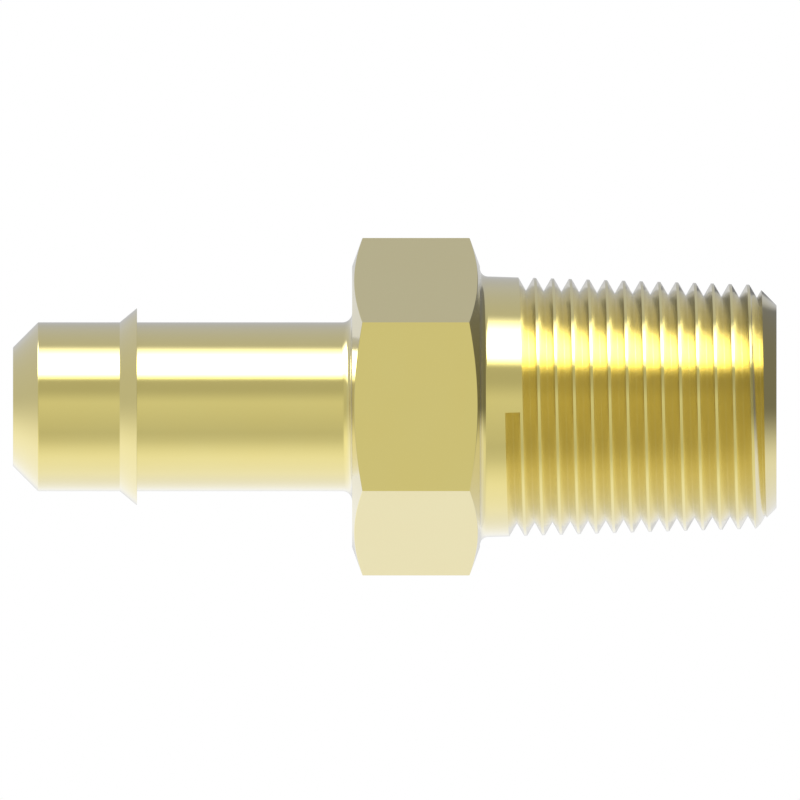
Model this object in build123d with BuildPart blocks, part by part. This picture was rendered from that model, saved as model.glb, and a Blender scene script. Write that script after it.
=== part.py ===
# A brass hose tail, turned in one piece from hexagon bar: a taper for a pipe thread at
# the lower end, a hexagon for a spanner, and a plain tail with one sharp barb at the top.
# Millimetres, +Z up along the bore, with the thread's end face standing on z = 0.
# Two corners of the hexagon lie on the X axis, and two of its flats face -Y and +Y.

import os
from math import cos, radians, tan

from build123d import *

# Lengths of the three stretches, from the bottom up
thread_length = 30.3
hex_length = 13.05
tail_length = 34.65

# The bore, straight through, with its mouths broken
bore_diameter = 11.1
bore_chamfer = 0.25

# The taper of a 3/4-14 pipe thread, over its crests: it reaches the pipe's full diameter
# at the hexagon, and a chamfer leads into it at the free end
pipe_diameter = 26.67
taper_per_length = 1 / 16
end_face_diameter = 20.7
end_chamfer_angle = 45

# The hexagon, chamfered at both ends down to a round face, which stands out round the
# taper by a narrow shoulder. A fillet fills most of that shoulder.
hex_across_flats = 29.85
hex_chamfer_angle = 20
neck_shoulder = 1.015
neck_fillet = 0.8

# The tail and its barb, which slopes up from the tip and drops square behind its crest.
# The chamfer at the tip leaves a narrow flat rim round the bore.
shank_diameter = 17.25
shank_fillet = 1.0
barb_height = 1.45
barb_length = 1.76
barb_to_tip = 10.91
tip_rim = 0.505

# Heights and radii that follow from these sizes
hex_bottom = thread_length
hex_top = hex_bottom + hex_length
tip_height = hex_top + tail_length
barb_base = tip_height - barb_to_tip
barb_crest = barb_base - barb_length
shank_radius = shank_diameter / 2
barb_radius = shank_radius + barb_height
bore_radius = bore_diameter / 2
tip_radius = bore_radius + tip_rim
tip_chamfer = shank_radius - tip_radius
end_radius = end_face_diameter / 2
hex_face_radius = pipe_diameter / 2 + neck_shoulder
hex_corner_radius = hex_across_flats / 2 / cos(radians(30))
hex_chamfer = (hex_corner_radius - hex_face_radius) * tan(radians(hex_chamfer_angle))
radius_slope = taper_per_length / 2


def cone_radius(height):
    """Radius of the thread's taper at a height, over its crests."""
    return pipe_diameter / 2 - (hex_bottom - height) * radius_slope


# Height at which the chamfer at the thread's end runs out into the taper
chamfer_rise = tan(radians(end_chamfer_angle))
end_chamfer = (cone_radius(0) - end_radius) / (1 / chamfer_rise - radius_slope)

# Corners where a fillet leads into the hexagon's two faces
neck_corner = (cone_radius(hex_bottom), hex_bottom)
shank_corner = (shank_radius, hex_top)

with BuildPart() as hose_tail:
    # The turned blank, with the hexagon still a round collar
    with BuildSketch(Plane.XZ) as section:
        with BuildLine():
            Polyline(
                (bore_radius, 0),
                (end_radius, 0),
                (cone_radius(end_chamfer), end_chamfer),
                neck_corner,
                (hex_face_radius, hex_bottom),
                (hex_corner_radius, hex_bottom + hex_chamfer),
                (hex_corner_radius, hex_top - hex_chamfer),
                (hex_face_radius, hex_top),
                shank_corner,
                (shank_radius, barb_crest),
                (barb_radius, barb_crest),
                (shank_radius, barb_base),
                (shank_radius, tip_height - tip_chamfer),
                (tip_radius, tip_height),
                (bore_radius, tip_height),
                close=True,
            )
        make_face()
        fillet(section.vertices().sort_by_distance(neck_corner)[0], radius=neck_fillet)
        fillet(section.vertices().sort_by_distance(shank_corner)[0], radius=shank_fillet)
        chamfer(section.vertices().group_by(Axis.X)[0], length=bore_chamfer)
    revolve(axis=Axis.Z)

    # The collar's six flats
    with BuildSketch(Plane.XY.offset(hex_bottom)):
        Circle(hex_corner_radius + 1)
        RegularPolygon(hex_across_flats / 2, 6, major_radius=False, mode=Mode.SUBTRACT)
    extrude(amount=hex_length, mode=Mode.SUBTRACT)

hose_tail.part.label = "hose_tail"
os.makedirs("parts", exist_ok=True)
export_step(hose_tail.part, "parts/hose_tail.step")
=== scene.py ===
# A brass hose tail, standing on its thread end with the bore upright. Metres, +Z up.
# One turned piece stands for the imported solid. It has the same form, and adds what the
# solid leaves out: the pipe thread, cut as one long helical groove, and a fine break along
# the sharp edges. The camera lies on its side, so that the picture's left is up.

import math

import bpy
from mathutils import Matrix, Vector


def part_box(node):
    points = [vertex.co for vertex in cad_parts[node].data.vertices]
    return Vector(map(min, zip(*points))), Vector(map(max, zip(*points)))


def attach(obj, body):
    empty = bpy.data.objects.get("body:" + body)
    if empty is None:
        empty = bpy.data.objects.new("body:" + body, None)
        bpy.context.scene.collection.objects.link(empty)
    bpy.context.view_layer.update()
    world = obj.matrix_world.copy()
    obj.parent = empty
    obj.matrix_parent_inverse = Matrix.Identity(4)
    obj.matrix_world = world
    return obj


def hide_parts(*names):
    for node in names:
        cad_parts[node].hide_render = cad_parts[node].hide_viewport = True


MM = 0.001

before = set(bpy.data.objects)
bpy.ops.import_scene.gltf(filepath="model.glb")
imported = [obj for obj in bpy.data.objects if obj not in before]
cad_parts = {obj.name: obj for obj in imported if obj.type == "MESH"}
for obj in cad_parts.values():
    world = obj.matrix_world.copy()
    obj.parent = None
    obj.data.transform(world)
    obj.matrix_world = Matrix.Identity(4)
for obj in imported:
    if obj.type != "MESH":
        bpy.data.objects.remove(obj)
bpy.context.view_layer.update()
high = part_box("hose_tail")[1]

# The picture is a square side view without perspective. 9.79 of its pixels make a
# millimetre, and the axis runs left to right.
picture_size = 800
picture_scale = 9.79 / MM
end_face_pixel = 776.55
axis_pixel = 406.72
camera_distance = 1000 * MM

# The turned form. The hexagon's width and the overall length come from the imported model.
tip_height = high[2]
hex_half_width = high[1]
hex_sides = 6
hex_corner_radius = hex_half_width / math.cos(math.radians(180 / hex_sides))
thread_length = 30.3 * MM
hex_length = 13.05 * MM
bore_radius = 5.55 * MM
bore_chamfer = 0.25 * MM
pipe_radius = 13.335 * MM
taper = 1 / 32
end_radius = 10.35 * MM
neck_shoulder = 1.015 * MM
neck_fillet = 0.8 * MM
hex_chamfer_angle = math.radians(20)
shank_radius = 8.625 * MM
shank_fillet = 1.0 * MM
barb_height = 1.45 * MM
barb_length = 1.76 * MM
barb_to_tip = 10.91 * MM
tip_rim = 0.505 * MM

# The thread: 14 turns to the inch, with flanks at 60 degrees, narrow flats on the crests and
# an almost sharp root. Its groove starts below the end face, so that it runs out there.
pitch = 25.4 * MM / 14
crest_flat = 0.28 * MM
root_flat = 0.01 * MM
half_flank_angle = math.radians(30)
groove_top = 26.95 * MM
groove_end_angle = math.radians(267.4)
groove_turns = 16
groove_clearance = 0.1 * MM

# Fineness of the mesh, and the breaks on its edges
columns_per_side = 34
edge_break = 0.04 * MM
fillet_steps = 10
holding_run = 0.03 * MM
merge_distance = 0.0005 * MM
collar_margin = 1.0001
sharp_angle = math.radians(14)

# The finish: fine rings and drawn lines, coarse clouds, and rougher metal wherever it lies
# below the thread's crests, with the end face and the bore's lower part. There the colour is
# also painted lighter, as painted light.
ring_width = 0.09 * MM
rings_across_faces = 0.37
drawn_width = 0.12 * MM
drawn_length = 12 * MM
clouds_per_metre = 160
marks_strength = 0.06
marks_height = 0.02 * MM
side_margin = 0.98
crest_margin = 0.05 * MM
least_roughness = 0.07
cloud_roughness = 0.04
mark_roughness = 0.03
groove_roughness = 0.075
slant_power = 1.45
deep_brass = (0.824, 0.70, 0.233, 1)
light_brass = (0.824, 0.718, 0.261, 1)
painted_light_groove_brass = (0.85, 0.727, 0.262, 1)
pale_brass = (0.851, 0.851, 0.842, 1)


class Value:
    """An output of a node, on which Python's operators add Math nodes."""

    def __init__(self, tree, socket):
        self.tree = tree
        self.socket = socket

    def maths(self, operation, *operands):
        """Adds one Math node."""
        return self.tree.node("ShaderNodeMath", {"operation": operation}, dict(enumerate(operands)))

    def __add__(self, other):
        return self.maths("ADD", self, other)

    def __radd__(self, other):
        return self.maths("ADD", other, self)

    def __sub__(self, other):
        return self.maths("SUBTRACT", self, other)

    def __rsub__(self, other):
        return self.maths("SUBTRACT", other, self)

    def __mul__(self, other):
        return self.maths("MULTIPLY", self, other)

    def __rmul__(self, other):
        return self.maths("MULTIPLY", other, self)

    def __truediv__(self, other):
        return self.maths("DIVIDE", self, other)

    def __rtruediv__(self, other):
        return self.maths("DIVIDE", other, self)

    def __pow__(self, other):
        return self.maths("POWER", self, other)

    def __gt__(self, other):
        return self.maths("GREATER_THAN", self, other)

    def __lt__(self, other):
        return self.maths("LESS_THAN", self, other)

    def __abs__(self):
        return self.maths("ABSOLUTE", self)


class Tree:
    """A node tree in which each node is one call."""

    def __init__(self, node_tree):
        self.node_tree = node_tree

    def node(self, kind, settings=None, sockets=None, output=0):
        """Adds a node: its settings first, then its sockets' values or links."""
        made = self.node_tree.nodes.new(kind)
        for name, setting in (settings or {}).items():
            if name == "stops":
                self.set_stops(made.color_ramp, setting)
            else:
                setattr(made, name, setting)
        for name, value in (sockets or {}).items():
            if isinstance(value, Value):
                self.node_tree.links.new(value.socket, made.inputs[name])
            else:
                made.inputs[name].default_value = value
        return Value(self, made.outputs[output]) if made.outputs else None

    @staticmethod
    def set_stops(ramp, stops):
        """Gives a ramp its grey stops, as pairs of place and level."""
        ramp.interpolation = "CARDINAL"
        while len(ramp.elements) < len(stops):
            ramp.elements.new(1)
        for element, (place, level) in zip(ramp.elements, stops):
            element.position = place
            element.color = (level, level, level, 1)

    def separate(self, vector):
        """Returns the three numbers of a vector."""
        split = self.node("ShaderNodeSeparateXYZ", sockets={0: vector}).socket.node
        return [Value(self, split.outputs[index]) for index in range(3)]

    def combine(self, x, y, z):
        return self.node("ShaderNodeCombineXYZ", sockets={0: x, 1: y, 2: z})

    def smooth(self, value, start, end):
        """Runs smoothly from 0 to 1 as a value goes from start to end."""
        return self.node(
            "ShaderNodeMapRange",
            {"interpolation_type": "SMOOTHSTEP"},
            {"Value": value, "From Min": start, "From Max": end},
        )

    def blend(self, factor, first, second):
        """Mixes two colours."""
        return self.node(
            "ShaderNodeMix", {"data_type": "RGBA"}, {0: factor, 6: first, 7: second}, output=2
        )


# Camera, on its side: its right is down the bore, and its up is +X

picture_width = picture_size / picture_scale
camera_data = bpy.data.cameras.new("camera")
camera_data.type = "ORTHO"
camera_data.ortho_scale = picture_width
camera = bpy.data.objects.new("camera", camera_data)
bpy.context.collection.objects.link(camera)
camera_place = Vector((
    (axis_pixel - picture_size / 2) / picture_scale,
    -camera_distance,
    (end_face_pixel - picture_size / 2) / picture_scale,
))
camera_axes = Matrix(((0, 1, 0), (0, 0, -1), (-1, 0, 0)))
camera.matrix_world = Matrix.Translation(camera_place) @ camera_axes.to_4x4()
bpy.context.scene.camera = camera


# The section, as corners of radius and height up the part. Each corner has the length that
# is cut from its two sides, and the steps that round it.


def cone_radius(height):
    """Radius over the thread's crests at a height."""
    return pipe_radius - (thread_length - height) * taper


def cut_corner(before, corner, after, leg, steps):
    """Points that cut or round a corner; a rounded one has a short run held at each end."""
    inward = (before - corner).normalized()
    outward = (after - corner).normalized()
    half_angle = inward.angle(outward) / 2
    centre = corner + (inward + outward).normalized() * leg / math.cos(half_angle)
    first = corner + inward * leg - centre
    last = corner + outward * leg - centre
    turn = first.angle_signed(last)
    points = [
        centre + Matrix.Rotation(-turn * step / steps, 2) @ first for step in range(steps + 1)
    ]
    if steps == 1:
        return points
    held_before = corner + inward * (leg + holding_run)
    held_after = corner + outward * (leg + holding_run)
    return [held_before, *points, held_after]


hex_bottom = thread_length
hex_top = hex_bottom + hex_length
hex_face_radius = pipe_radius + neck_shoulder
hex_chamfer_slope = math.tan(hex_chamfer_angle)
hex_chamfer = (hex_corner_radius - hex_face_radius) * hex_chamfer_slope
barb_base = tip_height - barb_to_tip
barb_crest = barb_base - barb_length
barb_radius = shank_radius + barb_height
tip_radius = bore_radius + tip_rim
tip_chamfer = shank_radius - tip_radius
end_chamfer = (cone_radius(0) - end_radius) / (1 - taper)
neck_bottom = groove_top + pitch / 2

uncut = (0, 0)
broken = (edge_break, 1)
outline = [
    (bore_radius + bore_chamfer, 0, *uncut),
    (end_radius, 0, *broken),
    (cone_radius(end_chamfer), end_chamfer, *broken),
    (cone_radius(neck_bottom), neck_bottom, *uncut),
    (cone_radius(hex_bottom), hex_bottom, neck_fillet, fillet_steps),
    (hex_face_radius, hex_bottom, *uncut),
    (hex_corner_radius, hex_bottom + hex_chamfer, *broken),
    (hex_corner_radius, hex_top - hex_chamfer, *broken),
    (hex_face_radius, hex_top, *uncut),
    (shank_radius, hex_top, shank_fillet, fillet_steps),
    (shank_radius, barb_crest, *uncut),
    (barb_radius, barb_crest, *broken),
    (shank_radius, barb_base, *uncut),
    (shank_radius, tip_height - tip_chamfer, *broken),
    (tip_radius, tip_height, *broken),
    (bore_radius + bore_chamfer, tip_height, *uncut),
    (bore_radius, tip_height - bore_chamfer, *uncut),
    (bore_radius, bore_chamfer, *uncut),
]

section_points = []
for number, (radius, height, leg, steps) in enumerate(outline):
    corner = Vector((radius, height))
    before = Vector(outline[number - 1][:2])
    after = Vector(outline[(number + 1) % len(outline)][:2])
    if leg:
        section_points += cut_corner(before, corner, after, leg, steps)
    else:
        section_points.append(corner)

# The section hangs on a circle through the hexagon's corners, so its points count outwards
# from there, with their height turned down
section = bpy.data.meshes.new("section")
section.from_pydata(
    [(point.x - hex_corner_radius, -point.y, 0) for point in section_points],
    [(index, (index + 1) % len(section_points)) for index in range(len(section_points))],
    [],
)


# Materials


def new_material(name):
    """An empty material and its tree."""
    material = bpy.data.materials.new(name)
    material.use_nodes = True
    material.node_tree.nodes.clear()
    return material, Tree(material.node_tree)


brass, nodes = new_material("turned brass")
place = nodes.node("ShaderNodeTexCoord", output="Object")
x, y, height = nodes.separate(place)
radius = (x * x + y * y) ** 0.5

# Fine rings from the turning tool, one run of them along the part and across its faces
rings = nodes.node(
    "ShaderNodeTexNoise",
    {"noise_dimensions": "1D"},
    {"W": (height + radius * rings_across_faces) / ring_width, "Scale": 1, "Detail": 2},
)
# The hexagon's sides are the drawn bar, with fine lines along them
drawn = nodes.node(
    "ShaderNodeTexNoise",
    {"noise_dimensions": "3D"},
    {
        "Vector": nodes.combine(x / drawn_width, y / drawn_width, height / drawn_length),
        "Scale": 1,
        "Detail": 2,
    },
)
on_sides = radius > hex_half_width * side_margin
marks = rings * (1 - on_sides) + drawn * on_sides
clouds = nodes.node(
    "ShaderNodeTexNoise", sockets={"Vector": place, "Scale": clouds_per_metre, "Detail": 3}
)
relief = nodes.node(
    "ShaderNodeBump",
    sockets={"Strength": marks_strength, "Distance": marks_height, "Height": marks},
)
under_crests = radius < cone_radius(height) - crest_margin
in_groove = (height < groove_top + pitch) * under_crests
roughness = least_roughness + clouds * cloud_roughness + marks * mark_roughness
roughness = roughness + in_groove * groove_roughness
brass_colour = nodes.blend(clouds, deep_brass, light_brass)
# Painted light: below the crests the metal's colour is lighter
brass_colour = nodes.blend(in_groove, brass_colour, painted_light_groove_brass)
# Seen at a slant, the metal turns pale
face_metal, pale_metal = (
    nodes.node(
        "ShaderNodeBsdfPrincipled",
        sockets={"Base Color": colour, "Metallic": 1, "Roughness": roughness, "Normal": relief},
    )
    for colour in (brass_colour, pale_brass)
)
slant = nodes.node("ShaderNodeLayerWeight", sockets={"Blend": 0.5}, output="Facing")
metal = nodes.node(
    "ShaderNodeMixShader", sockets={0: slant ** slant_power, 1: face_metal, 2: pale_metal}
)
nodes.node("ShaderNodeOutputMaterial", sockets={"Surface": metal})


# The turned piece: the section swept round the bore, its collar cut to a hexagon, and the
# thread's groove taken out along a tapering helix

groove_bottom = groove_top - groove_turns * pitch
groove_depth = (pitch - crest_flat - root_flat) / 2 / math.tan(half_flank_angle)
mouth_half = (pitch - crest_flat) / 2 + groove_clearance * math.tan(half_flank_angle)

fitting_sizes = {
    "Columns per side": ("NodeSocketInt", columns_per_side),
    "Half width": ("NodeSocketFloat", hex_half_width),
    "Corner radius": ("NodeSocketFloat", hex_corner_radius),
    "Face radius": ("NodeSocketFloat", hex_face_radius),
    "Middle height": ("NodeSocketFloat", (hex_bottom + hex_top) / 2),
    "Chamfer slope": ("NodeSocketFloat", hex_chamfer_slope),
    "Groove turns": ("NodeSocketFloat", groove_turns),
    "Groove bottom": ("NodeSocketFloat", groove_bottom),
    "Groove rise": ("NodeSocketFloat", groove_top - groove_bottom),
    "Groove bottom radius": ("NodeSocketFloat", cone_radius(groove_bottom)),
    "Groove top radius": ("NodeSocketFloat", cone_radius(groove_top)),
    "Groove angle": ("NodeSocketFloat", groove_end_angle),
    "Groove depth": ("NodeSocketFloat", groove_depth),
    "Groove clearance": ("NodeSocketFloat", groove_clearance),
    "Root half": ("NodeSocketFloat", root_flat / 2),
    "Mouth half": ("NodeSocketFloat", mouth_half),
    "Material": ("NodeSocketMaterial", brass),
}
fitting = bpy.data.node_groups.new("turned fitting", "GeometryNodeTree")
fitting.interface.new_socket("Section", in_out="INPUT", socket_type="NodeSocketGeometry")
fitting.interface.new_socket("Piece", in_out="OUTPUT", socket_type="NodeSocketGeometry")
identifiers = {
    name: fitting.interface.new_socket(name, in_out="INPUT", socket_type=kind).identifier
    for name, (kind, _) in fitting_sizes.items()
}
nodes = Tree(fitting)
group_input = nodes.node("NodeGroupInput").socket.node


def given(name):
    """An input of the group."""
    return Value(nodes, group_input.outputs[name])


side_turn = math.radians(360 / hex_sides)
columns = given("Columns per side")
circle = nodes.node(
    "GeometryNodeCurvePrimitiveCircle",
    sockets={"Resolution": columns * hex_sides, "Radius": given("Corner radius")},
)
circle = nodes.node("GeometryNodeSetCurveNormal", {"mode": "Z_UP"}, {"Curve": circle})
profile = nodes.node("GeometryNodeMeshToCurve", sockets={"Mesh": given("Section")})
turned = nodes.node(
    "GeometryNodeCurveToMesh", sockets={"Curve": circle, "Profile Curve": profile}
)

# Each point of the collar outside its round faces slides in to the hexagon's side, and
# along the chamfer as it goes
x, y, height = nodes.separate(nodes.node("GeometryNodeInputPosition"))
radius = (x * x + y * y) ** 0.5
bearing = nodes.node("ShaderNodeMath", {"operation": "ARCTAN2"}, {0: y, 1: x}) / side_turn
share = nodes.node("ShaderNodeMath", {"operation": "FRACT"}, {0: bearing + hex_sides})
off_middle = abs(share - 0.5) * side_turn
reach = given("Half width") / nodes.node(
    "ShaderNodeMath", {"operation": "COSINE"}, {0: off_middle}
)
slide = given("Corner radius") - reach
way_out = nodes.node(
    "ShaderNodeMath", {"operation": "SIGN"}, {0: height - given("Middle height")}
)
kept = (radius - slide) / radius
blank = nodes.node(
    "GeometryNodeSetPosition",
    sockets={
        "Geometry": turned,
        "Selection": radius > given("Face radius") * collar_margin,
        "Position": nodes.combine(
            x * kept, y * kept, height + way_out * slide * given("Chamfer slope")
        ),
    },
)

# The groove: a trapezium along the helix
helix = nodes.node(
    "GeometryNodeCurveSpiral",
    sockets={
        "Resolution": columns * hex_sides,
        "Rotations": given("Groove turns"),
        "Start Radius": given("Groove bottom radius"),
        "End Radius": given("Groove top radius"),
        "Height": given("Groove rise"),
        "Reverse": True,
    },
)
turned_helix = nodes.node(
    "ShaderNodeVectorRotate",
    {"rotation_type": "Z_AXIS"},
    {"Vector": nodes.node("GeometryNodeInputPosition"), "Angle": given("Groove angle")},
)
helix = nodes.node(
    "GeometryNodeSetPosition",
    sockets={
        "Geometry": helix,
        "Position": turned_helix,
        "Offset": nodes.combine(0, 0, given("Groove bottom")),
    },
)
helix = nodes.node("GeometryNodeSetCurveNormal", {"mode": "Z_UP"}, {"Curve": helix})
trapezium = nodes.node(
    "GeometryNodeCurvePrimitiveQuadrilateral",
    {"mode": "POINTS"},
    {
        "Point 1": nodes.combine(-1 * given("Groove depth"), -1 * given("Root half"), 0),
        "Point 2": nodes.combine(given("Groove clearance"), -1 * given("Mouth half"), 0),
        "Point 3": nodes.combine(given("Groove clearance"), given("Mouth half"), 0),
        "Point 4": nodes.combine(-1 * given("Groove depth"), given("Root half"), 0),
    },
)
groove = nodes.node(
    "GeometryNodeCurveToMesh",
    sockets={"Curve": helix, "Profile Curve": trapezium, "Fill Caps": True},
)
cut = nodes.node(
    "GeometryNodeMeshBoolean",
    {"operation": "DIFFERENCE", "solver": "MANIFOLD"},
    {"Mesh 1": blank, "Mesh 2": groove},
)
merged = nodes.node(
    "GeometryNodeMergeByDistance", sockets={"Geometry": cut, "Distance": merge_distance}
)
smoothed = nodes.node("GeometryNodeSetShadeSmooth", sockets={"Geometry": merged})
realized = nodes.node("GeometryNodeRealizeInstances", sockets={"Geometry": smoothed})
finished = nodes.node(
    "GeometryNodeSetMaterial", sockets={"Geometry": realized, "Material": given("Material")}
)
nodes.node("NodeGroupOutput", sockets={"Piece": finished})

sweep = bpy.data.objects.new("sweep", section)
bpy.context.collection.objects.link(sweep)
modifier = sweep.modifiers.new("turned fitting", "NODES")
modifier.node_group = fitting
for name, (_, size) in fitting_sizes.items():
    modifier[identifiers[name]] = size
bpy.context.view_layer.update()
swept = sweep.evaluated_get(bpy.context.evaluated_depsgraph_get())
hose_tail_mesh = bpy.data.meshes.new_from_object(swept)
bpy.data.objects.remove(sweep)
hose_tail_mesh.set_sharp_from_angle(angle=sharp_angle)
hose_tail = bpy.data.objects.new("turned_hose_tail", hose_tail_mesh)
bpy.context.collection.objects.link(hose_tail)
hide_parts("hose_tail")
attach(hose_tail, "root")


# Floor: white where nothing shades it. The metal sees it with painted shade: darker, most
# of all towards +X, apart from a painted lighter patch close to the part there. Far away it is
# clear to reflections and to shadow rays.

floor_radius = 450 * MM
floor_points = 96
floor_drop = 0.02 * MM
patch_edge = (12.5 * MM, 16 * MM)
patch_sides = (0.93, 1)
shade_sides = (-0.6, 0.03)
far_edge = (60 * MM, 70 * MM)
centre_gap = 0.01 * MM
floor_level = 1.25
painted_metal_dimming = 0.37
painted_metal_shade = 0.68
painted_light_lift = 0.5
camera_glow = 0.6
paper_grey = (0.8, 0.8, 0.8, 1)
floor_mesh = bpy.data.meshes.new("floor")
floor_mesh.from_pydata(
    [
        (
            floor_radius * math.cos(2 * math.pi * number / floor_points),
            floor_radius * math.sin(2 * math.pi * number / floor_points),
            -floor_drop,
        )
        for number in range(floor_points)
    ],
    [],
    [list(range(floor_points))],
)
floor = bpy.data.objects.new("floor", floor_mesh)
bpy.context.collection.objects.link(floor)
white_floor, nodes = new_material("white floor")
rays = nodes.node("ShaderNodeLightPath").socket.node
by_camera, by_metal, by_glass, by_shadow = (
    Value(nodes, rays.outputs[f"Is {kind} Ray"])
    for kind in ("Camera", "Glossy", "Transmission", "Shadow")
)
x, y = nodes.separate(nodes.node("ShaderNodeTexCoord", output="Object"))[:2]
away = (x * x + y * y) ** 0.5
sideways = x / (away + centre_gap)
# Painted light: a lighter patch that the metal sees close to the part on the +X side
beside_painted_light = nodes.smooth(sideways, *patch_sides) * (1 - nodes.smooth(away, *patch_edge))
shade = nodes.smooth(sideways, *shade_sides) * (1 - painted_light_lift * beside_painted_light)
far = nodes.smooth(away, *far_edge)
# Painted shade in the floor's reflection: metal rays see a lower level, lowest towards +X
level = floor_level - by_metal * (painted_metal_dimming + painted_metal_shade * shade)
paper = nodes.node("ShaderNodeBsdfDiffuse", sockets={"Color": paper_grey})
glow = nodes.node("ShaderNodeEmission", sockets={"Color": level, "Strength": 1})
share = (by_camera + by_glass) * camera_glow + by_metal
lit = nodes.node("ShaderNodeMixShader", sockets={0: share, 1: paper, 2: glow})
clear = nodes.node("ShaderNodeBsdfTransparent")
surface = nodes.node(
    "ShaderNodeMixShader", sockets={0: far * (by_metal + by_shadow), 1: lit, 2: clear}
)
nodes.node("ShaderNodeOutputMaterial", sockets={"Surface": surface})
floor_mesh.materials.append(white_floor)


# Light: a tall soft lamp up and to the front, and a studio whose walls differ a little

lamp_bearing = math.radians(62.4)
lamp_tilt = math.radians(38)
lamp_lean = math.radians(20)
lamp_distance = 900 * MM
lamp_width = 930 * MM
lamp_length = 1270 * MM
lamp_rise = 170 * MM
lamp_level = 6.2
fade_start = 0.03
fade_peak = 0.34
fade_end = 0.97
lamp_data = bpy.data.lights.new("soft lamp", "AREA")
lamp_data.shape = "RECTANGLE"
lamp_data.size = lamp_width
lamp_data.size_y = lamp_length
lamp_data.energy = lamp_level * math.pi * lamp_width * lamp_length
lamp_data.use_nodes = True
lamp_data.node_tree.nodes.clear()
nodes = Tree(lamp_data.node_tree)
along = nodes.separate(nodes.node("ShaderNodeNewGeometry", output="Parametric"))[0]
fade = nodes.smooth(along, fade_start, fade_peak) * (1 - nodes.smooth(along, fade_peak, fade_end))
glow = nodes.node("ShaderNodeEmission", sockets={"Color": fade, "Strength": 1})
nodes.node("ShaderNodeOutputLight", sockets={"Surface": glow})
lamp = bpy.data.objects.new("soft lamp", lamp_data)
bpy.context.collection.objects.link(lamp)
out_way = Vector((math.sin(lamp_bearing), -math.cos(lamp_bearing), 0))
back_way = out_way * math.cos(lamp_tilt) + Vector((0, 0, math.sin(lamp_tilt)))
rise_way = Vector((0, 0, math.cos(lamp_tilt))) - out_way * math.sin(lamp_tilt)
rise_way = Matrix.Rotation(-lamp_lean, 3, back_way) @ rise_way
lamp_place = out_way * lamp_distance + rise_way * lamp_rise
lamp_axes = Matrix((rise_way.cross(back_way), rise_way, back_way)).transposed()
lamp.matrix_world = Matrix.Translation(lamp_place) @ lamp_axes.to_4x4()

# The studio is white to the camera. The metal sees a front wall whose level changes from -X
# to +X, and a back wall and a sky that are darker towards +X.
front_stops = (
    (0, 1.03),
    (0.1, 0.78),
    (0.18, 0.64),
    (0.25, 0.645),
    (0.5, 0.735),
    (0.58, 0.71),
    (0.69, 0.535),
    (1, 0.56),
)
back_level = 1.03
back_fall = 0.515
back_fall_sides = (-0.45, 0.3)
back_rise = 0.035
back_rise_sides = (0.5, 0.85)
back_edge = (-0.1, 0.9)
sky_level = 1.07
sky_fall = 0.47
sky_fall_sides = (-0.6, 0.2)
sky_slant = 0.3
sky_edge = (0.1, 0.45)
white = (1, 1, 1, 1)
world = bpy.data.worlds.new("studio")
world.use_nodes = True
world.node_tree.nodes.clear()
bpy.context.scene.world = world
nodes = Tree(world.node_tree)
across, away, up = nodes.separate(nodes.node("ShaderNodeTexCoord", output="Generated"))
front = nodes.node("ShaderNodeValToRGB", {"stops": front_stops}, {0: across * 0.5 + 0.5})
back = back_level - back_fall * nodes.smooth(across, *back_fall_sides)
back = back + back_rise * nodes.smooth(across, *back_rise_sides)
to_back = nodes.smooth(away, *back_edge)
sky = sky_level - sky_fall * nodes.smooth(across - sky_slant * away, *sky_fall_sides)
to_sky = nodes.smooth(up, *sky_edge)
walls = nodes.blend(to_back, front, back)
studio = nodes.blend(to_sky, walls, sky)
rays = nodes.node("ShaderNodeLightPath").socket.node
by_camera, by_glass = (
    Value(nodes, rays.outputs[f"Is {kind} Ray"]) for kind in ("Camera", "Transmission")
)
background = nodes.node(
    "ShaderNodeBackground",
    sockets={"Color": nodes.blend(by_camera + by_glass, studio, white), "Strength": 1},
)
nodes.node("ShaderNodeOutputWorld", sockets={"Surface": background})

bpy.context.scene.view_settings.view_transform = "Standard"

bpy.context.view_layer.update()
